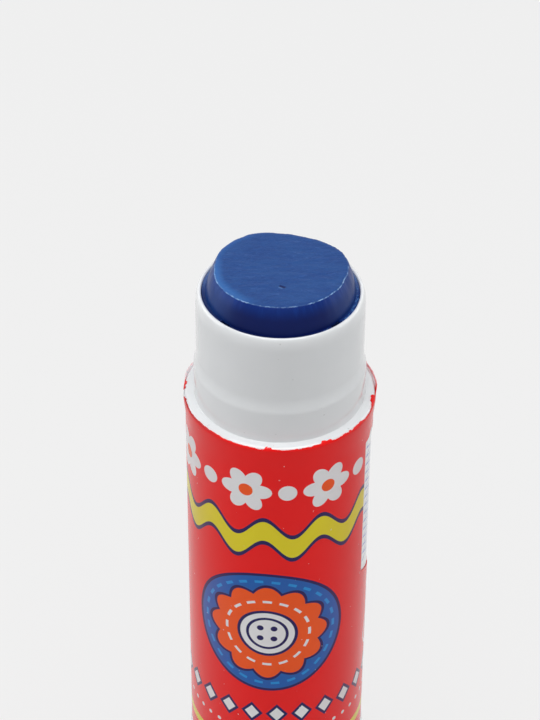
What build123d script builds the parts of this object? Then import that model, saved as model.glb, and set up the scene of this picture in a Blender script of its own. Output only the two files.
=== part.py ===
from build123d import *
import math
import os

# Glue stick with its cap off: a barrel with a printed film, a block of glue in a
# threaded cup, and a screw that a knob at the foot turns. Millimetres, +Z up.
# The origin is the centre of the knob's foot, where the stick stands.

os.makedirs("parts", exist_ok=True)

# Heights of the stack
knob_height = 10.0
knob_gap = 0.3
body_length = 46.5
neck_length = 12.3
glue_proud = 2.35
glue_length = 39.4

# Barrel: every wall stands outside the bore
bore_r = 7.75
body_wall = 1.65
flare = 0.18
flare_length = 2.4
flare_rim = 0.7
shoulder_round = 0.35
body_foot_round = 0.2
neck_wall = 0.6
neck_root_round = 0.25
step_out = 0.25
step_start = 3.6
step_rise = 1.0
lip_round = 0.38
lip_inner_round = 0.12
tail_wall = 0.65
tail_length = 5.6
snap_groove_depth = 0.3
snap_groove_width = 1.2
snap_groove_up = 1.4

# Guide ribs in the bore, which keep the cup and the glue from turning
rib_count = 4
rib_first_angle = 45
rib_height = 0.3
rib_width = 1.0
rib_above_tail = 2.0
rib_below_rim = 3.0

# Printed film round the body, with an unprinted window at one side
film_gap = 0.02
film_wall = 0.08
film_above_foot = 0.4
film_wrap_angle = 60
window_middle_angle = -3
window_width = 6.9
window_low = 25.0
window_height = 17.2

# Screw thread, left-hand, so that a knob turned clockwise seen from below lifts the glue
lead = 3.2
core_r = 1.7
thread_r = 2.6
thread_root_width = 1.5
thread_crest_width = 0.7
thread_sink = 0.15
thread_side_clearance = 0.16
thread_radial_clearance = 0.2

# Screw: long enough for the glue to sink below the rim, with a shoulder that stops the cup
retract = 8.0
tip_gap = 0.35
stop_gap = 0.35
shank_r = 2.5
flange_r = 4.2
flange_height = 1.2
hex_flat_r = 2.1
hex_length = 5.2
hex_clearance = 0.03
tip_chamfer = 0.5

# Carrier cup
carrier_clearance = 0.15
cup_depth = 4.0
cup_wall = 0.7
cup_round = 0.2
plate = 1.4
nut_length = 6.0
nut_wall = 1.4
fin_count = 4
fin_height = 2.4
fin_width = 0.8

# Glue
glue_clearance = 0.1
ledge_below_rim = 0.3
ledge_round = 0.15
ledge_width = 0.35
taper_run = 0.96
taper_round = 0.25
hole_clearance = 0.3
glue_over_hole = 2.6
cast_gap = 0.05

# Knob
knob_proud = 0.2
turn_clearance = 0.1
knob_floor = 1.4
knob_foot_round = 0.6
knob_top_round = 0.25
flute_count = 36
flute_r = 0.32
flute_depth = 0.22
flute_margin = 1.1
foot_recess_depth = 0.5
foot_ring = 2.7
gate_r = 0.9
gate_depth = 0.3
socket_wall = 1.2
socket_height = 6.0

# Fits
rib_clearance = 0.1
snap_clearance = 0.14
overrun = 1.0

# Radii that several pieces share
body_r = bore_r + body_wall
flare_r = body_r + flare
neck_r = bore_r + neck_wall
neck_low_r = neck_r + step_out
tail_r = bore_r + tail_wall
carrier_r = bore_r - carrier_clearance
cup_inner_r = carrier_r - cup_wall
nut_r = thread_r + thread_radial_clearance + nut_wall
glue_r = bore_r - glue_clearance
knob_r = body_r + knob_proud

# Levels that several pieces share
body_foot = knob_height + knob_gap
shoulder_level = body_foot + body_length
rim_level = shoulder_level + neck_length
tail_foot = body_foot - tail_length
snap_low = tail_foot + snap_groove_up
snap_high = snap_low + snap_groove_width
glue_top = rim_level + glue_proud
glue_foot = glue_top - glue_length
plate_foot = glue_foot - plate
nut_foot = plate_foot - nut_length
cup_top = glue_foot + cup_depth
ledge_level = rim_level - ledge_below_rim
hole_top = glue_top - glue_over_hole
screw_top = hole_top - retract - tip_gap
stop_shoulder = nut_foot - retract - stop_gap
socket_top = knob_floor + socket_height


def round_corner(sketch, across, up, radius):
    """Fillet the corner of a half section that stands at a radius and a height."""
    fillet(sketch.vertices().sort_by_distance((across, up))[0], radius)


def cut_rib_tracks(low, high):
    """Cut the tracks that run along the guide ribs with a clearance."""
    with BuildSketch(Plane.XY.offset(low)) as tracks:
        with PolarLocations(bore_r, rib_count, start_angle=rib_first_angle):
            Rectangle(2 * (rib_height + rib_clearance), rib_width + 2 * rib_clearance)
    extrude(tracks.sketch, amount=high - low, mode=Mode.SUBTRACT)


def thread(start, length, side, radial, mode):
    """Sweep the thread's trapezoid along a left-hand helix, widened by its clearances."""
    with BuildLine() as winding:
        Helix(lead, length, core_r, center=(0, 0, start), lefthand=True)
    across = Plane(origin=winding.line @ 0, x_dir=(1, 0, 0), z_dir=winding.line % 0)
    root = thread_root_width / 2 + side
    crest = thread_crest_width / 2 + side
    reach = thread_r - core_r + radial
    with BuildSketch(across) as tooth:
        with BuildLine():
            Polyline(
                (-thread_sink, -root),
                (reach, -crest),
                (reach, crest),
                (-thread_sink, root),
                close=True,
            )
        make_face()
    sweep(tooth.sketch, path=winding.line, is_frenet=True, mode=mode)


# Barrel: body, shoulder, neck, tail and guide ribs in one moulding
with BuildPart() as barrel:
    with BuildSketch(Plane.XZ) as wall:
        with BuildLine():
            Polyline(
                (bore_r, tail_foot),
                (tail_r, tail_foot),
                (tail_r, snap_low),
                (tail_r - snap_groove_depth, snap_low),
                (tail_r - snap_groove_depth, snap_high),
                (tail_r, snap_high),
                (tail_r, body_foot),
                (body_r, body_foot),
                (body_r, shoulder_level - flare_length),
                (flare_r, shoulder_level - flare_rim),
                (flare_r, shoulder_level),
                (neck_low_r, shoulder_level),
                (neck_low_r, shoulder_level + step_start),
                (neck_r, shoulder_level + step_start + step_rise),
                (neck_r, rim_level),
                (bore_r, rim_level),
                close=True,
            )
        make_face()
        round_corner(wall, body_r, body_foot, body_foot_round)
        round_corner(wall, flare_r, shoulder_level, shoulder_round)
        round_corner(wall, neck_low_r, shoulder_level, neck_root_round)
        round_corner(wall, neck_r, rim_level, lip_round)
        round_corner(wall, bore_r, rim_level, lip_inner_round)
    revolve(axis=Axis.Z)
    rib_foot = tail_foot + rib_above_tail
    rib_top = rim_level - rib_below_rim
    with BuildSketch(Plane.XY.offset(rib_foot)):
        with PolarLocations(bore_r, rib_count, start_angle=rib_first_angle):
            Rectangle(2 * rib_height, rib_width)
    extrude(amount=rib_top - rib_foot)
barrel.part.label = "barrel"
export_step(barrel.part, "parts/barrel.step")


# Printed film: follows the body's flare and wraps over the shoulder's corner
with BuildPart() as label_film:
    film_foot = body_foot + film_above_foot
    flare_foot = shoulder_level - flare_length
    corner_r = flare_r - shoulder_round
    corner_level = shoulder_level - shoulder_round
    inside = film_gap
    outside = film_gap + film_wall
    with BuildSketch(Plane.XZ):
        with BuildLine():
            inner_wrap = CenterArc((corner_r, corner_level), shoulder_round + inside, 0, film_wrap_angle)
            outer_wrap = CenterArc((corner_r, corner_level), shoulder_round + outside, 0, film_wrap_angle)
            Line(inner_wrap @ 1, outer_wrap @ 1)
            Polyline(
                outer_wrap @ 0,
                (flare_r + outside, shoulder_level - flare_rim),
                (body_r + outside, flare_foot),
                (body_r + outside, film_foot),
                (body_r + inside, film_foot),
                (body_r + inside, flare_foot),
                (flare_r + inside, shoulder_level - flare_rim),
                inner_wrap @ 0,
            )
        make_face()
    revolve(axis=Axis.Z)
    with BuildSketch(Plane.YZ.rotated((0, 0, window_middle_angle))):
        with Locations((0, film_foot + window_low)):
            Rectangle(window_width, window_height, align=(Align.CENTER, Align.MIN))
    extrude(amount=flare_r + overrun, mode=Mode.SUBTRACT)
label_film.part.label = "label_film"
export_step(label_film.part, "parts/label_film.step")


# Screw: hexagonal stub, flange, plain shank that stops the cup, and the threaded rod
with BuildPart() as spindle:
    with BuildSketch(Plane.XY.offset(socket_top - hex_length)):
        RegularPolygon(hex_flat_r, 6, major_radius=False)
    extrude(amount=hex_length)
    with BuildSketch(Plane.XY.offset(socket_top)):
        Circle(flange_r)
    extrude(amount=flange_height)
    shank_foot = socket_top + flange_height
    with BuildSketch(Plane.XY.offset(shank_foot)):
        Circle(shank_r)
    extrude(amount=stop_shoulder - shank_foot)
    with BuildSketch(Plane.XY.offset(stop_shoulder)):
        Circle(core_r)
    extrude(amount=screw_top - stop_shoulder)
    chamfer(spindle.edges().group_by(Axis.Z)[-1], tip_chamfer)
    thread_foot = stop_shoulder + thread_root_width / 2
    thread_length = screw_top - tip_chamfer - thread_root_width - thread_foot
    thread(thread_foot, thread_length, 0, 0, Mode.ADD)
spindle.part.label = "spindle"
export_step(spindle.part, "parts/spindle.step")


# Carrier cup: skirt round the foot of the glue, plate, fins and the threaded nut below
with BuildPart() as carrier_cup:
    with BuildSketch(Plane.XZ) as section:
        with BuildLine():
            Polyline(
                (0, nut_foot),
                (nut_r, nut_foot),
                (nut_r, plate_foot),
                (carrier_r, plate_foot),
                (carrier_r, cup_top),
                (cup_inner_r, cup_top),
                (cup_inner_r, glue_foot),
                (0, glue_foot),
                close=True,
            )
        make_face()
        round_corner(section, carrier_r, plate_foot, cup_round)
        round_corner(section, carrier_r, cup_top, cup_round)
        round_corner(section, nut_r, nut_foot, cup_round)
    revolve(axis=Axis.Z)
    with BuildSketch(Plane.XY.offset(glue_foot)) as fins:
        with PolarLocations((nut_r + cup_inner_r) / 2, fin_count):
            Rectangle(cup_inner_r - nut_r + cup_wall, fin_width)
    extrude(amount=fin_height)
    cut_rib_tracks(plate_foot - overrun, cup_top + overrun)
    turns_below = math.floor((nut_foot - thread_foot) / lead) - 1
    nut_thread_foot = thread_foot + turns_below * lead
    nut_thread_length = glue_foot - nut_thread_foot + lead
    thread(
        nut_thread_foot,
        nut_thread_length,
        thread_side_clearance,
        thread_radial_clearance,
        Mode.SUBTRACT,
    )
    # the bore comes after the thread's groove, because it passes through the groove's foot
    with BuildSketch(Plane.XY.offset(nut_foot - overrun)):
        Circle(core_r + thread_radial_clearance)
    extrude(amount=nut_length + plate + 2 * overrun, mode=Mode.SUBTRACT)
carrier_cup.part.label = "carrier_cup"
export_step(carrier_cup.part, "parts/carrier_cup.step")


# Glue: cast in the bore, stepped into the cup, with a blind hole over the screw and a worn taper
with BuildPart() as glue_block:
    hole_r = thread_r + hole_clearance
    taper_base_r = glue_r - ledge_width
    taper_top_r = taper_base_r - taper_run
    cast_r = cup_inner_r - cast_gap
    skirt_clear_level = cup_top + cast_gap
    with BuildSketch(Plane.XZ) as cast:
        with BuildLine():
            Polyline(
                (0, hole_top),
                (hole_r, hole_top),
                (hole_r, glue_foot),
                (cast_r, glue_foot),
                (cast_r, skirt_clear_level),
                (glue_r, skirt_clear_level),
                (glue_r, ledge_level),
                (taper_base_r, ledge_level),
                (taper_top_r, glue_top),
                (0, glue_top),
                close=True,
            )
        make_face()
        round_corner(cast, glue_r, ledge_level, ledge_round)
        round_corner(cast, taper_top_r, glue_top, taper_round)
    revolve(axis=Axis.Z)
    with BuildSketch(Plane.XY.offset(glue_foot)):
        with PolarLocations((nut_r + cup_inner_r) / 2, fin_count):
            Rectangle(cup_inner_r - nut_r + cup_wall + 2 * cast_gap, fin_width + 2 * cast_gap)
    extrude(amount=fin_height + cast_gap, mode=Mode.SUBTRACT)
    cut_rib_tracks(cup_top, ledge_level + overrun)
glue_block.part.label = "glue_block"
export_step(glue_block.part, "parts/glue_block.step")


# Knob: fluted cup with a snap bead in the tail's groove and a hexagonal socket for the screw
with BuildPart() as twist_knob:
    skirt_r = tail_r + turn_clearance
    foot_recess_r = knob_r - foot_ring
    bead_r = tail_r - snap_groove_depth + snap_clearance
    socket_r = hex_flat_r / math.cos(math.pi / 6) + socket_wall
    with BuildSketch(Plane.XZ) as shell:
        with BuildLine():
            Polyline(
                (0, foot_recess_depth),
                (foot_recess_r, foot_recess_depth),
                (foot_recess_r, 0),
                (knob_r, 0),
                (knob_r, knob_height),
                (skirt_r, knob_height),
                (skirt_r, snap_high - snap_clearance),
                (bead_r, snap_high - snap_clearance),
                (bead_r, snap_low + snap_clearance),
                (skirt_r, snap_low + snap_clearance),
                (skirt_r, knob_floor),
                (socket_r, knob_floor),
                (socket_r, socket_top),
                (0, socket_top),
                close=True,
            )
        make_face()
        round_corner(shell, knob_r, 0, knob_foot_round)
        round_corner(shell, knob_r, knob_height, knob_top_round)
    revolve(axis=Axis.Z)
    with BuildSketch(Plane.XY.offset(flute_margin)):
        with PolarLocations(knob_r + flute_r - flute_depth, flute_count):
            Circle(flute_r)
    extrude(amount=knob_height - 2 * flute_margin, mode=Mode.SUBTRACT)
    with BuildSketch(Plane.XY.offset(socket_top)):
        RegularPolygon(hex_flat_r + hex_clearance, 6, major_radius=False)
    extrude(amount=-(hex_length + hex_clearance), mode=Mode.SUBTRACT)
    with BuildSketch(Plane.XY.offset(foot_recess_depth)):
        Circle(gate_r)
    extrude(amount=gate_depth, mode=Mode.SUBTRACT)
twist_knob.part.label = "twist_knob"
export_step(twist_knob.part, "parts/twist_knob.step")
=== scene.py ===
import math
import bmesh
import bpy
from mathutils import Matrix, Vector, noise


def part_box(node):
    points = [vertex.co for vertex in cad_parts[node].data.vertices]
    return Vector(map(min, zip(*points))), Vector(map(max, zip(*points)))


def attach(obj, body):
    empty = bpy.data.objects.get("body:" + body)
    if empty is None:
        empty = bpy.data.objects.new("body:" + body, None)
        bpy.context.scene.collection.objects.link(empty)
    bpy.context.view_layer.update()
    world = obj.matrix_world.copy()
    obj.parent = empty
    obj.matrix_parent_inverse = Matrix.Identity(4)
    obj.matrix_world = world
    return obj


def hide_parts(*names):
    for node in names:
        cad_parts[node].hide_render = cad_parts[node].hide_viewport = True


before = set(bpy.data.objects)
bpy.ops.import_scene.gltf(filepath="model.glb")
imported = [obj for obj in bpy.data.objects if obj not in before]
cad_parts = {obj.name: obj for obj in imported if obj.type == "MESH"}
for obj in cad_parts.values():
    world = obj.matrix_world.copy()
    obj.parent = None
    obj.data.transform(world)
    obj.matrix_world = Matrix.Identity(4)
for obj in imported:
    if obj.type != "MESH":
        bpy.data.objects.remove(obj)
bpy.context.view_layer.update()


# Room: the stick stands on a plain pale table in a soft white room, under a wide lamp, with a
# panel at each side. Only the camera, gloss and clear plastic see the room's full white.
mm = 0.001
room_white = 0.863
room_light = 0.215
# name, spot, diameter and watts of each
lamps = (
    ("lamp", (-0.05, -0.22, 1.0), 1.1, 9.5),
    ("panel_left", (-0.9, 0.15, 0.3), 0.8, 2.6),
    ("panel_right", (0.9, 0.15, 0.3), 0.8, 2.2),
)
table_white = 0.938
table_size = 3.0
table_colour = (0.58, 0.58, 0.58, 1)
table_shadow = 0.2


class Level:
    """A number in a material: arithmetic on it adds the Math nodes."""

    def __init__(self, finish, socket):
        self.finish = finish
        self.socket = socket

    def maths(self, operation, *values, clamp=False):
        settings = {"operation": operation, "use_clamp": clamp}
        return self.finish.node("ShaderNodeMath", settings, dict(enumerate(values)))

    def __add__(self, other):
        return self.maths("ADD", self, other)

    def __radd__(self, other):
        return self.maths("ADD", other, self)

    def __sub__(self, other):
        return self.maths("SUBTRACT", self, other)

    def __rsub__(self, other):
        return self.maths("SUBTRACT", other, self)

    def __mul__(self, other):
        return self.maths("MULTIPLY", self, other)

    def __rmul__(self, other):
        return self.maths("MULTIPLY", other, self)

    def __truediv__(self, other):
        return self.maths("DIVIDE", self, other)

    def __pow__(self, other):
        return self.maths("POWER", self, other)

    def __abs__(self):
        return self.maths("ABSOLUTE", self)

    def most(self, other):
        return self.maths("MAXIMUM", self, other)

    def sine(self):
        return self.maths("SINE", self)

    def cosine(self):
        return self.maths("COSINE", self)

    def repeat(self, period):
        return self.maths("WRAP", self, period / 2, -period / 2)

    def rise(self, low, high):
        """0 below low, 1 above high, smooth between."""
        settings = {"interpolation_type": "SMOOTHSTEP"}
        return self.finish.node("ShaderNodeMapRange", settings, {0: self, 1: low, 2: high})


class Finish:
    """A material, with one method that adds any node to it."""

    def __init__(self, name, tree=None, **constants):
        self.material = None
        if tree is None:
            self.material = bpy.data.materials.new(name)
            self.material.use_nodes = True
            tree = self.material.node_tree
        self.tree = tree
        self.shader = tree.nodes.get("Principled BSDF")
        for name, value in constants.items():
            socket = name.replace("_", " ").title().replace("Ior", "IOR")
            self.shader.inputs[socket].default_value = value

    def node(self, kind, settings=None, sockets=None, output=0):
        added = self.tree.nodes.new(kind)
        for name, value in (settings or {}).items():
            setattr(added, name, value)
        for name, value in (sockets or {}).items():
            self.feed(added.inputs[name], value)
        return Level(self, added.outputs[output])

    def feed(self, socket, value):
        if isinstance(value, Level):
            self.tree.links.new(value.socket, socket)
        else:
            socket.default_value = value

    def mix(self, mask, under, over):
        """One colour over another where the mask is 1."""
        sockets = {0: mask, 6: under, 7: over}
        return self.node("ShaderNodeMix", {"data_type": "RGBA"}, sockets, output=2)

    def seen(self):
        """1 where the camera, gloss or clear plastic looks, 0 for the light on the object."""
        rays = [
            self.node("ShaderNodeLightPath", None, None, output=f"Is {ray} Ray")
            for ray in ("Camera", "Glossy", "Transmission")
        ]
        return rays[0].most(rays[1]).most(rays[2])

    def place(self):
        """The point on the piece, in millimetres."""
        point = self.node("ShaderNodeTexCoord", None, None, output="Object")
        parts = [self.node("ShaderNodeSeparateXYZ", None, {0: point}, output=i) for i in range(3)]
        return [part / mm for part in parts]

    def grain(self, x, y, z, scale, detail=2.0, roughness=0.5):
        """Noise from 0 to 1 round a half."""
        point = self.node("ShaderNodeCombineXYZ", None, {0: x, 1: y, 2: z})
        sockets = {"Vector": point, "Scale": scale, "Detail": detail, "Roughness": roughness}
        return self.node("ShaderNodeTexNoise", None, sockets)

    def surface(self, colour=None, roughness=None, relief=None, relief_height=0.01):
        """Colour and roughness, and a relief whose full height is given in millimetres."""
        if colour is not None:
            self.feed(self.shader.inputs["Base Color"], colour)
        if roughness is not None:
            self.feed(self.shader.inputs["Roughness"], roughness)
        if relief is not None:
            sockets = {"Height": relief, "Distance": relief_height * mm, "Strength": 1.0}
            self.feed(self.shader.inputs["Normal"], self.node("ShaderNodeBump", None, sockets))


def length(u, v):
    """Distance of a point from zero."""
    return (u * u + v * v) ** 0.5


def angle_round(u, v):
    """Angle of a point round zero in radians, 0 along v and growing towards u."""
    return u.maths("ARCTAN2", u, v)


def paint(red, green, blue):
    """A colour as it looks on a screen, 0 to 255, as the shader takes it: the sRGB curve."""
    linear = [
        c / 255 / 12.92 if c <= 10 else ((c / 255 + 0.055) / 1.055) ** 2.4
        for c in (red, green, blue)
    ]
    return (*linear, 1)


world = bpy.data.worlds.new("room")
bpy.context.scene.world = world
world.use_nodes = True
room = Finish("room", tree=world.node_tree)
backdrop = room.tree.nodes["Background"]
room.feed(backdrop.inputs["Color"], (1, 1, 1, 1))
room.feed(backdrop.inputs["Strength"], room.seen() * (room_white - room_light) + room_light)

bpy.ops.object.select_all(action="DESELECT")
bpy.ops.mesh.primitive_plane_add(size=table_size, location=(0, 0, 0))
table = bpy.context.object
table.name = "table"
top = Finish("table_white", base_color=table_colour, roughness=0.9, specular_ior_level=0.1)
glow = top.tree.nodes.new("ShaderNodeEmission")
glow.inputs["Strength"].default_value = table_white
mixed = top.tree.nodes.new("ShaderNodeMixShader")
top.feed(mixed.inputs[0], top.seen() * (1 - table_shadow))
top.tree.links.new(top.shader.outputs[0], mixed.inputs[1])
top.tree.links.new(glow.outputs[0], mixed.inputs[2])
top.tree.links.new(mixed.outputs[0], top.tree.nodes["Material Output"].inputs["Surface"])
table.data.materials.append(top.material)

for name, spot, size, watts in lamps:
    bpy.ops.object.light_add(type="AREA", location=spot)
    lamp = bpy.context.object
    lamp.name = name
    lamp.data.shape = "DISK"
    lamp.data.size = size
    lamp.data.energy = watts
    lamp.rotation_euler = Vector(spot).to_track_quat("Z", "Y").to_euler()

eye = Vector((-0.988, -182.925, 203.730)) * mm
look_down = math.radians(38.096)
lean = math.radians(0.394)
lens = 116.82
ahead = Vector((0, math.cos(look_down), -math.sin(look_down)))
level_x = Vector((1, 0, 0))
level_y = level_x.cross(ahead)
across = level_x * math.cos(lean) + level_y * math.sin(lean)
upward = level_y * math.cos(lean) - level_x * math.sin(lean)
bpy.ops.object.camera_add()
camera = bpy.context.object
camera.data.lens = lens
camera.data.clip_start = 0.01
camera.matrix_world = Matrix((across, upward, -ahead)).transposed().to_4x4()
camera.location = eye
bpy.context.scene.camera = camera
bpy.context.scene.view_settings.view_transform = "Standard"


# Barrel: one white moulding in glossy polypropylene, with the body, the shoulder, the neck that
# the cap slides over, four guide ribs along the bore, and a grooved tail for the knob.
sides = 360
bore_r = 7.75 * mm
body_r = 9.40 * mm
flare_r = 9.58 * mm
neck_r = 8.35 * mm
neck_low_r = 8.60 * mm
tail_r = 8.40 * mm
snap_r = 8.10 * mm
tail_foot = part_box("barrel")[0].z
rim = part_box("barrel")[1].z
body_foot = 10.3 * mm
shoulder = 56.8 * mm
flare_foot = shoulder - 2.4 * mm
flare_rim = shoulder - 0.7 * mm
step_low = shoulder + 3.6 * mm
step_high = shoulder + 5.1 * mm
step_swell = 1.8
snap_low = tail_foot + 1.4 * mm
snap_high = tail_foot + 2.6 * mm
rib_low = tail_foot + 2.0 * mm
rib_high = rim - 3.0 * mm
rib_height = 0.3 * mm
rib_half_angle = 4
rib_angles = (45, 135, 225, 315)
lip_wall = 0.4 * mm
lip_fall = 1.5 * mm
lip_rings = 12
step_rings = 10
corner_round = 0.35 * mm
plastic_white = paint(231, 233, 235)
ink_blue = paint(104, 122, 196)
window_middle = 87.0


def turned(name, outline, count=sides):
    """A wall drawn up ring by ring along an outline of (radius, level).

    An outline that ends where it starts gives a closed wall.
    """
    bpy.ops.object.select_all(action="DESELECT")
    radius, level = outline[0]
    bpy.ops.mesh.primitive_circle_add(vertices=count, radius=radius, location=(0, 0, level))
    piece = bpy.context.object
    piece.name = piece.data.name = name
    bpy.ops.object.transform_apply(location=True, rotation=True, scale=True)
    bpy.ops.object.mode_set(mode="EDIT")
    bpy.ops.mesh.select_all(action="SELECT")
    for next_radius, next_level in outline[1:]:
        rise = (0, 0, next_level - level)
        bpy.ops.mesh.extrude_edges_move(TRANSFORM_OT_translate={"value": rise})
        wider = next_radius / radius
        bpy.ops.transform.resize(value=(wider, wider, 1), center_override=(0, 0, next_level))
        radius, level = next_radius, next_level
    bpy.ops.mesh.select_all(action="SELECT")
    bpy.ops.mesh.remove_doubles(threshold=0.002 * mm)
    bpy.ops.mesh.normals_make_consistent(inside=False)
    bpy.ops.object.mode_set(mode="OBJECT")
    return piece


def pick(piece, kind, wanted):
    """In edit mode, select the edges or faces that a test accepts."""
    bpy.ops.mesh.select_all(action="DESELECT")
    mesh = bmesh.from_edit_mesh(piece.data)
    for part in getattr(mesh, kind):
        if wanted(part):
            part.select_set(True)
    mesh.select_flush_mode()
    bmesh.update_edit_mesh(piece.data)


def round_ring(piece, radius, level, width, segments):
    """Round off the sharp ring at a radius and a level."""

    def on_ring(edge):
        return all(
            abs(v.co.xy.length - radius) < 0.01 * mm and abs(v.co.z - level) < 0.01 * mm
            for v in edge.verts
        )

    bpy.ops.object.mode_set(mode="EDIT")
    bpy.ops.mesh.select_mode(type="EDGE")
    pick(piece, "edges", on_ring)
    bpy.ops.mesh.bevel(offset=width, segments=segments, affect="EDGES")
    bpy.ops.object.mode_set(mode="OBJECT")


def polish(piece, angle=40):
    """Smooth shading that keeps the long walls flat beside their rounded edges."""
    bpy.ops.object.select_all(action="DESELECT")
    piece.select_set(True)
    bpy.context.view_layer.objects.active = piece
    bpy.ops.object.shade_smooth_by_angle(angle=math.radians(angle))
    weighted = piece.modifiers.new("weighted", "WEIGHTED_NORMAL")
    weighted.keep_sharp = True
    bpy.ops.object.modifier_apply(modifier=weighted.name)


def bearing(point):
    """Degrees round the axis from the front of the stick, positive towards the window."""
    return math.degrees(math.atan2(point.x, -point.y))


def off(angle, middle):
    """How far an angle lies from another, the short way round."""
    return (angle - middle + 180) % 360 - 180


barrel = turned(
    "barrel_tube",
    [
        (bore_r, tail_foot),
        (tail_r, tail_foot),
        (tail_r, snap_low),
        (snap_r, snap_low),
        (snap_r, snap_high),
        (tail_r, snap_high),
        (tail_r, body_foot),
        (body_r, body_foot),
        (body_r, flare_foot),
        (flare_r, flare_rim),
        (flare_r, shoulder),
        (neck_low_r, shoulder),
        *[
            (
                neck_r + (neck_low_r - neck_r) * (1 - i / step_rings) ** step_swell,
                step_low + (step_high - step_low) * i / step_rings,
            )
            for i in range(step_rings + 1)
        ],
        *[
            (
                neck_r - lip_wall * (1 - math.cos(math.radians(90 * i / lip_rings))),
                rim - lip_fall * (1 - math.sin(math.radians(90 * i / lip_rings))),
            )
            for i in range(lip_rings + 1)
        ],
        (bore_r, rim),
        (bore_r, rib_high),
        (bore_r, rib_low),
        (bore_r, tail_foot),
    ],
)


def on_rib(face):
    middle = face.calc_center_median()
    if abs(middle.xy.length - bore_r) > 0.02 * mm or not rib_low < middle.z < rib_high:
        return False
    return any(abs(off(bearing(middle), angle)) < rib_half_angle for angle in rib_angles)


bpy.ops.object.mode_set(mode="EDIT")
bpy.ops.mesh.select_mode(type="FACE")
pick(barrel, "faces", on_rib)
bpy.ops.mesh.extrude_region_shrink_fatten(TRANSFORM_OT_shrink_fatten={"value": rib_height})
bpy.ops.object.mode_set(mode="OBJECT")
# radius, level, width and segments of each rounded edge
for ring in (
    (body_r, body_foot, 0.2 * mm, 6),
    (flare_r, shoulder, corner_round, 8),
    (neck_low_r, shoulder, 0.08 * mm, 3),
    (neck_low_r, step_low, 0.22 * mm, 5),
    (bore_r, rim, 0.18 * mm, 6),
):
    round_ring(barrel, *ring)
polish(barrel)

white = Finish("barrel_white", roughness=0.3, specular_ior_level=0.7)
x, y, z = white.place()
haze = white.grain(x, y, z, 0.35, 3)
rubbed = white.grain(x * 0.15, y * 0.15, z * 6, 1.0, 4)
speck = white.grain(x, y, z, 2.6, 0).rise(0.865, 0.88)
skin = white.grain(x, y, z, 1.4, 3)
around = angle_round(x, 0 - y) * (body_r / mm)
shade = white.mix(haze, plastic_white, paint(227, 230, 232))
shade = white.mix(speck * 0.3, shade, paint(150, 150, 150))
# a smear of glue along the lip's inner edge, at the front
inner_edge = 1 - length(x, y).rise(bore_r / mm + 0.06, bore_r / mm + 0.2)
wiped = inner_edge * z.rise(rim / mm - 0.3, rim / mm - 0.2)
patchy = 0.4 + 0.6 * white.grain(x, y, z, 1.1, 3).rise(0.35, 0.6)
wiped = wiped * patchy * (0 - y).rise(-1.0, 3.0)
shade = white.mix(wiped * 0.5, shade, paint(76, 110, 196))
# painted light: the lip is lighter at both sides, as if light came through the thin wall
painted_lip_light = z.rise(rim / mm - 1.8, rim / mm - 0.8) * abs(x / (neck_r / mm)).rise(0.78, 0.98)
shade = white.mix(painted_lip_light * 0.6, shade, paint(246, 248, 249))
# a plain blue zigzag stitch on the bare strip that the film leaves open, in millimetres
stitch_pitch, stitch_slope, stitch_swing = 1.1, 3, 0.8
strip_low, strip_high, strip_front = 36.2, 51.8, 8.0
strip_middle = math.radians(window_middle - 12.5) * body_r / mm
zigzag = abs(z.repeat(stitch_pitch)) * stitch_slope - stitch_swing
stitch = 1 - abs(around - strip_middle - zigzag).rise(0.2, 0.34)
on_strip = z.rise(strip_low, strip_low + 0.1) * (1 - z.rise(strip_high, strip_high + 0.1))
on_strip = on_strip * x.rise(strip_front, strip_front + 0.1)
shade = white.mix(stitch * on_strip, shade, ink_blue)
white.surface(shade, 0.02 + haze * 0.02 + rubbed * 0.03, skin + rubbed * 0.2, 0.002)
barrel.data.materials.append(white.material)
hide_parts("barrel")
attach(barrel, "barrel")


# Printed film: a thin red film shrunk on the body and over the shoulder's corner, with a strip at
# the right left open. Its upper edge is ragged, with torn flakes, and at the back it stands up
# and leans out, so that its unprinted inner side shows.
film_sides = 720
film_gap = 0.02 * mm
film_wall = 0.08 * mm
film_foot = body_foot + 0.15 * mm
film_r = body_r + film_gap
window_low = body_foot + 25.0 * mm
window_high = window_low + 17.6 * mm
window_half = 20.8
window_slope = 0.085 * mm
window_slope_end = 24
corner_r = flare_r - corner_round
corner_level = shoulder - corner_round
wrap_r = corner_round + film_gap
wrap_rings = 14
wrap_rise = 0.01 * mm
wrap_front = 0.24 * mm
wrap_back = 0.05 * mm
wrap_least = 0.03 * mm
# the cut's unevenness: fineness, height and layer of the noise
cut_waves = ((9, 0.06 * mm, 1.5), (34, 0.045 * mm, 4.5))
flake_flank = 4
# the bearings from which the edge stands up, and how far it does
stand_right, stand_left, stand_blend = 86.0, 97.0, 8.0
stand_rise = 0.26 * mm
stand_rise_left = stand_rise * 0.55
stand_run = 0.6
stand_lean = 0.16 * mm
# torn flakes and nibbles: bearing and half width in degrees, and how many millimetres the film
# reaches past its edge there
flakes = (
    (-8.1, 0.9, 0.20),
    (-6.9, 0.9, 0.10),
    (-5.7, 0.9, 0.16),
    (77.0, 3.6, 0.14),
    (80.0, 3.4, 0.20),
    (82.2, 1.8, 0.22),
    (97.0, 1.6, 0.10),
    (106.0, 1.2, 0.08),
    (-94.5, 1.5, 0.30),
    (-90.5, 1.3, 0.22),
    (-79.0, 0.9, 0.12),
    (46.5, 0.8, 0.16),
    (-12.5, 2.0, -0.06),
    (12.0, 1.5, -0.07),
    (24.0, 5.0, 0.08),
    (29.0, 3.8, 0.20),
    (36.5, 2.2, -0.08),
    (42.0, 1.4, 0.07),
    (46.0, 1.4, -0.06),
    (54.0, 4.5, 0.08),
    (65.5, 6.5, -0.12),
    (-47.0, 12.0, 0.09),
    (118.0, 3.0, 0.20),
    (131.0, 1.5, 0.16),
    (-128.0, 2.0, 0.12),
    (176.0, 4.0, 0.15),
)

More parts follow.
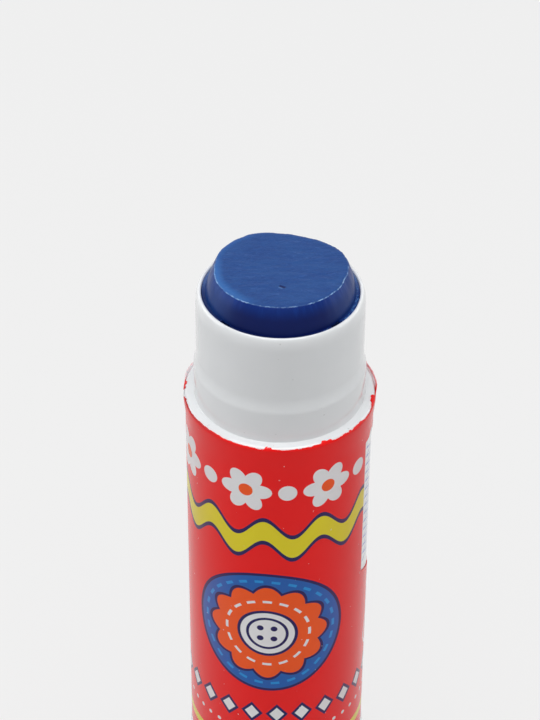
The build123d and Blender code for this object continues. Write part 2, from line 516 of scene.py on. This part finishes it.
film = turned(
    "printed_film",
    [(film_r, film_foot), (film_r, window_low), (film_r, window_high), (film_r, flare_foot)]
    + [(flare_r + film_gap, flare_rim), (flare_r + film_gap, corner_level)]
    + [(flare_r + film_gap, corner_level + (i + 1) * wrap_rise) for i in range(wrap_rings)],
    film_sides,
)


def film_reach(angle):
    """How far the film runs over the corner, measured along it."""
    front = 0.5 + 0.5 * math.cos(math.radians(angle))
    reach = wrap_back + (wrap_front - wrap_back) * front**0.6
    round_x, round_y = math.sin(math.radians(angle)), math.cos(math.radians(angle))
    for fineness, height, layer in cut_waves:
        reach += height * noise.noise((round_x * fineness, round_y * fineness, layer))
    for middle, half, extra in flakes:
        away = abs(off(angle, middle)) / half
        if away < 1:
            reach += extra * mm * min(1, flake_flank * (1 - away))
    return max(reach, wrap_least)


def film_stand(angle):
    """0 where the film hugs the corner, 1 at the back, where its edge stands up."""
    start = stand_right if angle > 0 else stand_left
    return min(1, max(0, (abs(angle) - start) / stand_blend))


for vertex in film.data.vertices:
    above = vertex.co.z - corner_level
    if above < wrap_rise / 2:
        continue
    angle = bearing(vertex.co)
    share = above / (wrap_rings * wrap_rise)
    run = share * film_reach(angle)
    turn = min(run / wrap_r, math.pi / 2)
    radius = corner_r + wrap_r * math.cos(turn) - max(run - wrap_r * math.pi / 2, 0)
    level = wrap_r * math.sin(turn)
    stand = film_stand(angle)
    radius += (flare_r + film_gap + stand_lean * share - radius) * stand
    rise = stand_rise if angle > 0 else stand_rise_left
    level += (share * rise + run * stand_run - level) * stand
    flat = vertex.co.xy.normalized() * radius
    vertex.co = (flat.x, flat.y, corner_level + level)


def in_window(face):
    middle = face.calc_center_median()
    open_here = window_low < middle.z < window_high
    return open_here and abs(off(bearing(middle), window_middle)) < window_half


def on_window_foot(vertex):
    along = off(bearing(vertex.co), window_middle) + window_half
    return abs(vertex.co.z - window_low) < 0.01 * mm and 0 < along < 2 * window_half + 0.3


bpy.ops.object.mode_set(mode="EDIT")
bpy.ops.mesh.select_mode(type="FACE")
pick(film, "faces", in_window)
bpy.ops.mesh.delete(type="FACE")
bpy.ops.mesh.select_mode(type="VERT")
pick(film, "verts", on_window_foot)
for vertex in bmesh.from_edit_mesh(film.data).verts:
    if vertex.select:
        along = off(bearing(vertex.co), window_middle) + window_half
        vertex.co.z -= window_slope * min(along, window_slope_end)
bpy.ops.object.mode_set(mode="OBJECT")
sheet = film.modifiers.new("sheet", "SOLIDIFY")
sheet.thickness = film_wall
sheet.offset = 1
bpy.ops.object.modifier_apply(modifier=sheet.name)
polish(film, 50)

red = paint(251, 14, 14)
orange = paint(255, 92, 20)
blue = paint(0, 98, 182)
stitch_blue = paint(16, 150, 226)
navy = paint(0, 22, 92)
yellow = paint(236, 221, 38)
ink_white = paint(242, 243, 245)

ink = Finish("film_print", roughness=0.36, specular_ior_level=0.2)
x, y, z = ink.place()
print_r = (body_r + film_gap + film_wall) / mm
girth = 2 * math.pi * print_r
around = angle_round(x, 0 - y) * print_r
below = shoulder / mm - z
blur = 0.05
navy_line = 0.35


def inside(distance):
    """1 within a shape, 0 outside it, from the distance to its outline in millimetres."""
    return distance.maths("SUBTRACT", 0.5, distance / blur, clamp=True)


def flower(u, v, radius, petals, notch):
    """Distance to an outline of round petals about u = v = 0, notched between them."""
    petal = abs((angle_round(v, u) * (petals / 2)).cosine())
    return length(u, v) - radius * (1 - notch + notch * petal)


# a row of white blossoms with dots between them
blossom_level, blossom_shift, blossom_pitch = 5.8, 3.4, girth / 7
blossom_r, blossom_eye_r, blossom_dot_r = 2.7, 0.75, 0.95
u = (around + blossom_shift).repeat(blossom_pitch)
v = below - blossom_level
colour = ink.mix(inside(flower(u, v, blossom_r, 6, 0.36)), red, ink_white)
colour = ink.mix(inside(length(u, v) - blossom_eye_r), colour, orange)
u = (around + blossom_shift + blossom_pitch / 2).repeat(blossom_pitch)
colour = ink.mix(inside(length(u, v) - blossom_dot_r), colour, ink_white)

# a yellow zigzag braid outlined in navy
braid_level, braid_swing, braid_half, braid_outline = 12.1, 1.15, 1.25, 0.55
braid_pitch = girth / 10
braid_wave = (around * (2 * math.pi / braid_pitch)).sine() * braid_swing
braid = abs(below - braid_level - braid_wave) - braid_half
colour = ink.mix(inside(braid - braid_outline), colour, navy)
colour = ink.mix(inside(braid), colour, yellow)

# a stitched blue patch under a scalloped orange rosette with a plain four-hole button
patch_level, patch_shift, patch_r, patch_seam = 25.2, 1.1, 8.1, 0.8
rosette_r, rosette_seam_r, seam_half = 6.5, 4.5, 0.16
button_r, button_groove_r, hole_spot, button_hole_r = 2.9, 2.1, 0.72, 0.36
u = (around + patch_shift).repeat(girth / 2)
v = below - patch_level
out = length(u, v)
turn = angle_round(v, u)
patch = out - patch_r
colour = ink.mix(inside(patch - navy_line), colour, navy)
colour = ink.mix(inside(patch), colour, blue)
dashes = inside(abs(patch + patch_seam) - 0.17) * (turn * 26).cosine().rise(-0.2, 0.1)
colour = ink.mix(dashes, colour, stitch_blue)
rosette = flower(u, v, rosette_r, 12, 0.14)
colour = ink.mix(inside(rosette - 0.38), colour, navy)
colour = ink.mix(inside(rosette), colour, orange)
dashes = inside(abs(out - rosette_seam_r) - seam_half) * (turn * 16).cosine().rise(-0.3, 0)
colour = ink.mix(dashes, colour, ink_white)
colour = ink.mix(inside(out - (button_r + navy_line)), colour, navy)
colour = ink.mix(inside(out - button_r), colour, ink_white)
colour = ink.mix(inside(abs(out - button_groove_r) - seam_half), colour, navy)
holes = length(abs(u) - hole_spot, abs(v) - hole_spot)
colour = ink.mix(inside(holes - button_hole_r), colour, navy)

# a row of small white lozenges outlined in navy, with dots and a yellow line under it
lozenge_level, lozenge_outline = 37.2, 0.32
u = around.repeat(girth / 22)
lozenge = (abs(u) * 1.25 + abs(below - lozenge_level)) / 1.6 - 0.62
colour = ink.mix(inside(lozenge - lozenge_outline), colour, navy)
colour = ink.mix(inside(lozenge), colour, ink_white)
dot_level, dot_r, line_level, line_half = 40.2, 0.24, 43.4, 0.55
u = around.repeat(girth / 44)
colour = ink.mix(inside(length(u, below - dot_level) - dot_r), colour, ink_white)
colour = ink.mix(inside(abs(below - line_level) - line_half), colour, yellow)

# white rings at the right, under the open strip: level and radius
ring_bearing, ring_half = 92, 0.18
u = around - math.radians(ring_bearing) * print_r
for level, radius in ((25.2, 1.5), (32.4, 2.4)):
    ring = length(u, below - level) - radius
    colour = ink.mix(inside(abs(ring) - ring_half), colour, ink_white)

speck = ink.grain(x, y, z, 3.1, 0).rise(0.87, 0.885)
cloud = ink.grain(x, y, z, 0.25, 2)
satin = ink.grain(x, y, z * 0.4, 5.0, 2)
painted_left_reflection = (0 - x / print_r).rise(0.3, 0.95)
painted_right_shade = (x / print_r).rise(0.3, 0.95)
colour = ink.mix(speck * 0.5, colour, ink_white)
colour = ink.mix(cloud * 0.08, colour, paint(160, 10, 14))
# painted reflection: the left flank is tinted greyer; painted shade: the right flank is darker
# red
colour = ink.mix(painted_left_reflection * 0.17, colour, paint(150, 66, 66))
colour = ink.mix(painted_right_shade * 0.2, colour, paint(146, 20, 26))
# the film's edge over the corner is darker at the left front, and bare where the film is torn off
# the corner
up = z - corner_level / mm
edge_band = up.rise(-0.05, 0.05)
left_edge = up.rise(0.08, 0.16) * (0 - x).rise(5.0, 8.0) * (0 - y).rise(-0.4, 0.4)
colour = ink.mix(left_edge * 0.5, colour, paint(150, 6, 20))
torn = (0 - x).rise(8.5, 8.8) * (0 - y).rise(0.1, 0.25) * (1 - (0 - y).rise(1.2, 1.35))
colour = ink.mix(edge_band * torn, colour, plastic_white)
# its inner side is unprinted, pale and painted lighter still as painted light where it lies in
# shade, and shows where the edge stands up at the back, up to a ragged red rim at the right
film_in = (flare_r + film_gap) / mm + up * (stand_lean / stand_rise)
unprinted_and_painted_light = 1 - (length(x, y) - film_in).rise(0.02, 0.05)
right_half = x.rise(-1.0, 1.0)
unprinted_and_painted_light = unprinted_and_painted_light * edge_band * (y + right_half * 1.1).rise(1.4, 2.2)
ragged = up / (stand_rise / mm) + ink.grain(x, y, 0.5, 1.6, 2)
unprinted_and_painted_light = unprinted_and_painted_light * (1 - ragged.rise(1.15, 1.35) * right_half * 0.65)
colour = ink.mix(unprinted_and_painted_light, colour, paint(252, 234, 238))
# painted light: the red at the back edge is paled in patches, more at the left, where the edge
# lies in shade
painted_light_back_edge = edge_band * y.rise(1.2, 1.6) * ink.grain(x, y, z, 1.6, 2).rise(0.4, 0.56)
colour = ink.mix(painted_light_back_edge * (0.15 + (0 - x).rise(-2.0, 2.0) * 0.55), colour, plastic_white)
ink.surface(colour, 0.16 + cloud * 0.06 + satin * 0.05, ink.grain(x, y, z, 0.9, 3), 0.005)
film.data.materials.append(ink.material)
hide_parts("label_film")
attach(film, "barrel")


# Glue: a waxy blue block cast in the bore, with four tracks for the guide ribs. Use has worn its
# end to a lopsided taper with a torn rim, lighter partly as a painted highlight, and left crumbs
# on the ledge inside the lip.
glue_sides = 720
glue_r = 7.65 * mm
cast_r = 6.85 * mm
cup_level = 36.1 * mm
glue_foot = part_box("glue_block")[0].z
glue_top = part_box("glue_block")[1].z
ledge = rim - 0.27 * mm
ledge_tilt = 0.15 * mm
smear_r = 7.72 * mm
taper_base_r = 7.34 * mm
taper_top_r = 6.34 * mm
smear_low = ledge - 0.6 * mm
smear_high = ledge - 0.3 * mm
smear_brim = ledge - 0.08 * mm
track_depth = 0.4 * mm
track_half_angle = 4.5
hole_r = 2.9 * mm
hole_top = glue_top - 2.6 * mm
taper_rings = 16
face_rings = 44
face_spread = 1.25
rim_fall = 0.06 * mm
rim_reach = 0.4 * mm
face_sink = 0.02 * mm
flank_swell = 0.1 * mm
crumb_height = 0.5 * mm
crumb_bearing, crumb_half = 65, 55
# the worn outline: bearing and half width in degrees, and how many millimetres the edge stands
# out of round there
wear = (
    (-160, 18, -0.09),
    (-149, 40, 0.44),
    (-144, 9, -0.08),
    (-118, 22, 0.27),
    (-90, 45, 0.12),
    (-48, 30, -0.09),
    (8, 75, -0.27),
    (108, 36, 0.36),
    (121, 12, 0.05),
    (146, 14, -0.05),
    (168, 34, -0.38),
    (172, 16, 0.10),
)
scoop_bearing = -62
scoop_half = 46
scoop_depth = 0.2 * mm
scoop_reach = 0.9 * mm


def swell(away):
    """A smooth hump: 1 in the middle, 0 from a distance of 1 on."""
    return 0.5 + 0.5 * math.cos(math.pi * min(abs(away), 1))


taper = [
    (
        taper_base_r + (taper_top_r - taper_base_r) * i / taper_rings,
        ledge + (glue_top - ledge) * i / taper_rings,
    )
    for i in range(taper_rings + 1)
]
face = [
    (taper_top_r * (1 - i / face_rings) ** face_spread, glue_top)
    for i in range(1, face_rings)
]
glue = turned(
    "glue_stub",
    [
        (hole_r, hole_top),
        (hole_r, glue_foot),
        (cast_r, glue_foot),
        (cast_r, cup_level),
        (glue_r, cup_level),
        (glue_r, smear_low),
        (smear_r, smear_high),
        (smear_r, smear_brim),
        (smear_r - 0.08 * mm, ledge),
        (smear_r - 0.2 * mm, ledge + 0.01 * mm),
    ]
    + taper
    + face,
    glue_sides,
)


def on_open_end(edge):
    return edge.is_boundary


bpy.ops.object.mode_set(mode="EDIT")
bpy.ops.mesh.select_mode(type="EDGE")
pick(glue, "edges", on_open_end)
bpy.ops.mesh.edge_face_add()
bpy.ops.object.mode_set(mode="OBJECT")

from_rim = glue.data.attributes.new("from_rim", "FLOAT", "POINT")
for vertex in glue.data.vertices:
    flat = vertex.co.xy.copy()
    radius = flat.length
    level = vertex.co.z
    angle = bearing(vertex.co)
    round_x, round_y = math.sin(math.radians(angle)), math.cos(math.radians(angle))
    on_face = abs(level - glue_top) < 0.001 * mm
    on_taper = not on_face and level > ledge + 0.001 * mm
    distance = -1.0
    if on_face or on_taper:
        share = 1 if on_face else (level - ledge) / (glue_top - ledge)
        out_of_round = sum(h * swell(off(angle, b) / w) for b, w, h in wear)
        out_of_round += 0.05 * noise.noise((round_x * 8, round_y * 8, 2.5))
        out_of_round += 0.03 * noise.noise((round_x * 30, round_y * 30, 7.5)) * share**6
        edge_r = taper_top_r + out_of_round * mm
        scoop = swell(off(angle, scoop_bearing) / scoop_half)
        if on_face:
            distance = edge_r * (1 - radius / taper_top_r)
            radius *= edge_r / taper_top_r
            rounding = max(0, 1 - distance / rim_reach) ** 3
            scoop *= max(0, 1 - distance / scoop_reach) ** 1.6
            level -= rim_fall * rounding + scoop_depth * scoop
            sx, sy = vertex.co.x / mm, vertex.co.y / mm
            level += 0.035 * mm * noise.noise((sx * 0.5, sy * 1.7, 3.0)) * min(1, distance / mm)
            level += 0.012 * mm * noise.noise((sx * 1.3, sy * 5.0, 8.0))
            level -= face_sink
        else:
            distance = -(glue_top - level)
            radius += out_of_round * mm * share
            radius += flank_swell * math.sin(math.pi * share)
            level -= (rim_fall + scoop_depth * scoop + face_sink) * share**4
    elif level > ledge - 0.001 * mm and radius > taper_base_r + 0.05 * mm:
        crumb = max(0, noise.noise((round_x * 20, round_y * 20, radius / mm * 2.5)) - 0.1)
        level += crumb_height * crumb * swell(off(angle, crumb_bearing) / crumb_half)
    if vertex.co.z > smear_high - 0.05 * mm and not on_face:
        # the ledge lies higher at the back
        share = max(0, (vertex.co.z - ledge) / (glue_top - ledge))
        level += ledge_tilt * (0.5 - 0.5 * round_y) * (1 - share)
    in_track = any(abs(off(angle, a)) < track_half_angle for a in rib_angles)
    in_wall = cup_level - 0.001 * mm < vertex.co.z < ledge + 0.02 * mm
    if in_track and in_wall and radius > glue_r - 0.2 * mm:
        # each track keeps clear of its rib, and runs out through the ledge
        through = vertex.co.z > ledge - 0.1 * mm
        radius = taper_base_r + 0.02 * mm if through else glue_r - track_depth
    if flat.length > 0:
        flat = flat.normalized() * radius
    vertex.co = (flat.x, flat.y, level)
    from_rim.data[vertex.index].value = distance / mm
polish(glue, 55)

wax = Finish(
    "glue_wax",
    roughness=0.45,
    subsurface_weight=0.25,
    subsurface_scale=0.6 * mm,
    subsurface_radius=(0.2, 0.5, 1.0),
    specular_ior_level=0.24,
    specular_tint=(0.62, 0.7, 1.0, 1),
)
x, y, z = wax.place()
rim_distance = wax.node("ShaderNodeAttribute", {"attribute_name": "from_rim"}, None, output="Fac")
outward = length(x, y)
bearing_x = x / outward
bearing_y = y / outward
front = (0 - bearing_y).rise(-0.35, 0.25)
# the pale hairline along the torn rim, partly pale chips of the rim and partly a painted
# highlight, broken and strongest at the front's two sides
broken = wax.grain(bearing_x * 6, bearing_y * 6, 0.5, 2.6, 4).rise(0.42, 0.66)
nick = wax.grain(bearing_x * 7, bearing_y * 7, 3.5, 5.0, 3) * 0.16 - 0.08
rim_chips_and_highlight = 1 - abs(rim_distance - 0.02 - nick).rise(0.01, 0.08)
rim_chips_and_highlight = rim_chips_and_highlight * (broken * 0.9 + 0.08) * (front * 0.6 + 0.4)
rim_chips_and_highlight = rim_chips_and_highlight * (abs(bearing_x).rise(0.0, 0.55) * 0.5 + 0.5)
# the face: wrinkled and mottled, with painted highlights along its left and back rim
on_side = 1 - rim_distance.rise(-0.06, 0.0)
# painted light: the side glows lighter under the rim
painted_glow_under_rim = (rim_distance + 1.3).rise(-0.1, 1.25)
ripple = wax.grain(x, y, z, 0.9, 3) * 1.6
wrinkle = wax.grain(x * 0.9 + ripple, y * 1.7 + ripple, z, 2.4, 6, 0.75)
mottle = wax.grain(x * 0.4, y * 0.9, z, 0.7, 3)
streaks = wax.grain(x * 0.5 + ripple * 0.5, y * 1.8 + ripple, z, 1.7, 4, 0.6)
painted_left_rim_highlight = (1 - rim_distance.rise(0.1, 1.0)) * (0 - bearing_x - bearing_y * 0.45).rise(0.74, 1.1)
face_blue = wax.mix(wrinkle.rise(0.3, 0.7), paint(28, 62, 122), paint(38, 76, 138))
face_blue = wax.mix(mottle.rise(0.35, 0.7) * 0.35, face_blue, paint(46, 86, 144))
face_blue = wax.mix(streaks.rise(0.57, 0.72) * 0.42, face_blue, paint(66, 100, 160))
painted_back_rim_highlight = (1 - rim_distance.rise(0.05, 0.9)) * (bearing_y * 0.6 - bearing_x).rise(0.75, 1.1)
face_blue = wax.mix(painted_back_rim_highlight * 0.45, face_blue, paint(50, 98, 168))
face_blue = wax.mix(painted_left_rim_highlight * 0.75, face_blue, paint(60, 112, 178))
# the side: a deeper blue than the face, partly its own colour and partly painted shade, with
# painted light under the rim and at both flanks, and streaks that run down in the painted glow
side_blue = wax.mix(painted_glow_under_rim, paint(3, 20, 80), paint(4, 40, 114))
painted_flank_light = (0 - bearing_x).rise(0.55, 1.0) * 0.8 + bearing_x.rise(0.55, 1.0) * 0.6
side_blue = wax.mix(painted_flank_light, side_blue, paint(20, 60, 128))
run_down = wax.grain(bearing_x * 16, bearing_y * 16, z * 0.35, 1.0, 3).rise(0.48, 0.7)
side_blue = wax.mix(run_down * painted_glow_under_rim * 0.35, side_blue, paint(18, 60, 142))
# the ledge: painted shade at the front and left, painted light at the back, with crumbs at the
# right
by_lip = z.rise(ledge / mm - 0.3, ledge / mm - 0.12)
on_ledge = by_lip * outward.rise(7.32, 7.42)
painted_ledge_shade = on_ledge * (0 - bearing_x).rise(-0.7, 0.1) * front
side_blue = wax.mix(painted_ledge_shade * 0.75, side_blue, paint(4, 20, 66))
painted_ledge_light = on_ledge * bearing_y.rise(-0.1, 0.4)
side_blue = wax.mix(painted_ledge_light * 0.6, side_blue, paint(104, 132, 184))
crumb_zone = by_lip * outward.rise(7.36, 7.44) * (bearing_x - bearing_y * 0.15).rise(0.5, 0.74)
crumbs = wax.grain(x, y, z, 3.0, 3).rise(0.5, 0.6) * crumb_zone
side_blue = wax.mix(crumbs * 0.75, side_blue, paint(60, 106, 162))
# the short slit near the middle of the face, a dent in the relief, with painted shade above and a
# painted highlight below
slit_x, slit_y = 0.16, -2.81
slit_slope = -0.55
run_x, run_y = math.cos(slit_slope), math.sin(slit_slope)
along = (x - slit_x) * run_x + (y - slit_y) * run_y
beside = (y - slit_y) * run_x - (x - slit_x) * run_y
slit_dent_and_shade = (1 - abs(along).rise(0.24, 0.44)) * (1 - abs(beside).rise(0.1, 0.21))
painted_slit_highlight = (1 - abs(along + 0.08).rise(0.1, 0.32)) * (1 - abs(beside + 0.26).rise(0.02, 0.11))
face_blue = wax.mix(painted_slit_highlight * 0.55, face_blue, paint(96, 132, 188))
face_blue = wax.mix(slit_dent_and_shade * 0.9, face_blue, paint(6, 18, 74))
blues = wax.mix(on_side, face_blue, side_blue)
blues = wax.mix(rim_chips_and_highlight * 0.9, blues, paint(146, 182, 224))
relief = wrinkle * 0.7 + wax.grain(x * 1.2, y * 3.4, z, 3.0, 3) * 0.3 - slit_dent_and_shade * 0.8
wax.surface(blues, 0.42 + mottle * 0.15 - on_side * 0.12, relief * (1 - on_side * 0.75), 0.05)
glue.data.materials.append(wax.material)
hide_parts("glue_block")
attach(glue, "carriage")


# Knob: a fluted cup in satin polypropylene, snapped on the barrel's tail, with a raised foot
# ring, the moulding's gate mark under the floor, and a socket that drives the screw.
knob_sides = 720
knob_r = 9.60 * mm
knob_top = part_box("twist_knob")[1].z
skirt_r = 8.50 * mm
bead_r = 8.24 * mm
bead_low = snap_low + 0.14 * mm
bead_high = snap_high - 0.14 * mm
knob_floor = 1.4 * mm
foot_recess_r = 6.9 * mm
foot_recess = 0.5 * mm
gate_r = 0.9 * mm
gate_depth = 0.3 * mm
middle_r = gate_r * 0.2
socket_outer_r = 3.62 * mm
socket_inner_r = 2.46 * mm
socket_top = 7.4 * mm
socket_depth = 5.2 * mm
flute_count = 36
flute_half_angle = 1.9
flute_depth = 0.22 * mm
flute_low = 1.1 * mm
flute_high = knob_top - 1.1 * mm
flute_end = 0.35 * mm
flute_steps = 5
knob = turned(
    "fluted_knob",
    [
        (middle_r, foot_recess + gate_depth),
        (gate_r, foot_recess + gate_depth),
        (gate_r, foot_recess),
        (foot_recess_r, foot_recess),
        (foot_recess_r, 0),
        (knob_r, 0),
    ]
    + [(knob_r, flute_low + flute_end * i / flute_steps) for i in range(flute_steps + 1)]
    + [(knob_r, flute_high - flute_end * (1 - i / flute_steps)) for i in range(flute_steps + 1)]
    + [
        (knob_r, knob_top),
        (skirt_r, knob_top),
        (skirt_r, bead_high),
        (bead_r, bead_high),
        (bead_r, bead_low),
        (skirt_r, bead_low),
        (skirt_r, knob_floor),
        (socket_outer_r, knob_floor),
        (socket_outer_r, socket_top),
        (socket_inner_r, socket_top),
        (socket_inner_r, socket_top - socket_depth),
        (middle_r, socket_top - socket_depth),
    ],
    knob_sides,
)
# the outline's two open ends, at the gate mark and the socket's floor, are closed with a face
bpy.ops.object.mode_set(mode="EDIT")
bpy.ops.mesh.select_mode(type="EDGE")
for low, high in ((0, knob_floor - 0.4 * mm), (knob_floor, knob_top)):
    pick(knob, "edges", lambda edge: edge.is_boundary and low < edge.verts[0].co.z < high)
    bpy.ops.mesh.edge_face_add()
bpy.ops.mesh.select_all(action="SELECT")
bpy.ops.mesh.normals_make_consistent(inside=False)
bpy.ops.object.mode_set(mode="OBJECT")
half_pitch = 180 / flute_count
for vertex in knob.data.vertices:
    if vertex.co.xy.length < knob_r - 0.01 * mm or not flute_low <= vertex.co.z <= flute_high:
        continue
    away = abs((bearing(vertex.co) + half_pitch) % (2 * half_pitch) - half_pitch)
    to_end = min(vertex.co.z - flute_low, flute_high - vertex.co.z) / flute_end
    bowl = max(0, 1 - (away / flute_half_angle) ** 2) ** 0.5
    runout = math.sin(min(1, max(0, to_end)) * math.pi / 2)
    flat = vertex.co.xy.normalized() * (knob_r - flute_depth * bowl * runout)
    vertex.co.x, vertex.co.y = flat.x, flat.y
for ring in (
    (knob_r, 0, 0.6 * mm, 8),
    (foot_recess_r, 0, 0.15 * mm, 3),
    (knob_r, knob_top, 0.25 * mm, 5),
):
    round_ring(knob, *ring)
polish(knob, 50)

satin_white = Finish("knob_white", roughness=0.42)
x, y, z = satin_white.place()
haze = satin_white.grain(x, y, z, 0.4, 3)
scuff = satin_white.grain(x * 0.6, y * 0.6, z * 3, 1.2, 4)
foot_wear = (1 - z.rise(0.0, 0.7)) * satin_white.grain(x, y, z, 1.6, 3).rise(0.45, 0.65)
shade = satin_white.mix(haze, paint(238, 239, 241), paint(232, 234, 237))
shade = satin_white.mix(foot_wear * 0.35, shade, paint(196, 196, 194))
orange_peel = satin_white.grain(x, y, z, 3.5, 3)
satin_white.surface(shade, 0.36 + haze * 0.1 + scuff * 0.08, orange_peel + scuff * 0.3, 0.006)
knob.data.materials.append(satin_white.material)
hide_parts("twist_knob")
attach(knob, "knob")


# Screw and cup: inner mouldings in natural polypropylene, milky and unpolished, with the fine
# marks of their moulds. Their shapes are the frame's own.
natural = Finish("inner_natural", roughness=0.5)
x, y, z = natural.place()
flow = natural.grain(x * 0.7, y * 0.7, z * 0.25, 0.8, 3)
tool_marks = natural.grain(x * 0.3, y * 0.3, z * 8, 1.0, 2)
shade = natural.mix(flow, paint(228, 229, 226), paint(216, 218, 215))
natural.surface(shade, 0.42 + flow * 0.14, tool_marks + flow * 0.4, 0.006)
for name in ("spindle", "carrier_cup"):
    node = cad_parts[name]
    node.data.materials.clear()
    node.data.materials.append(natural.material)


bpy.context.view_layer.update()
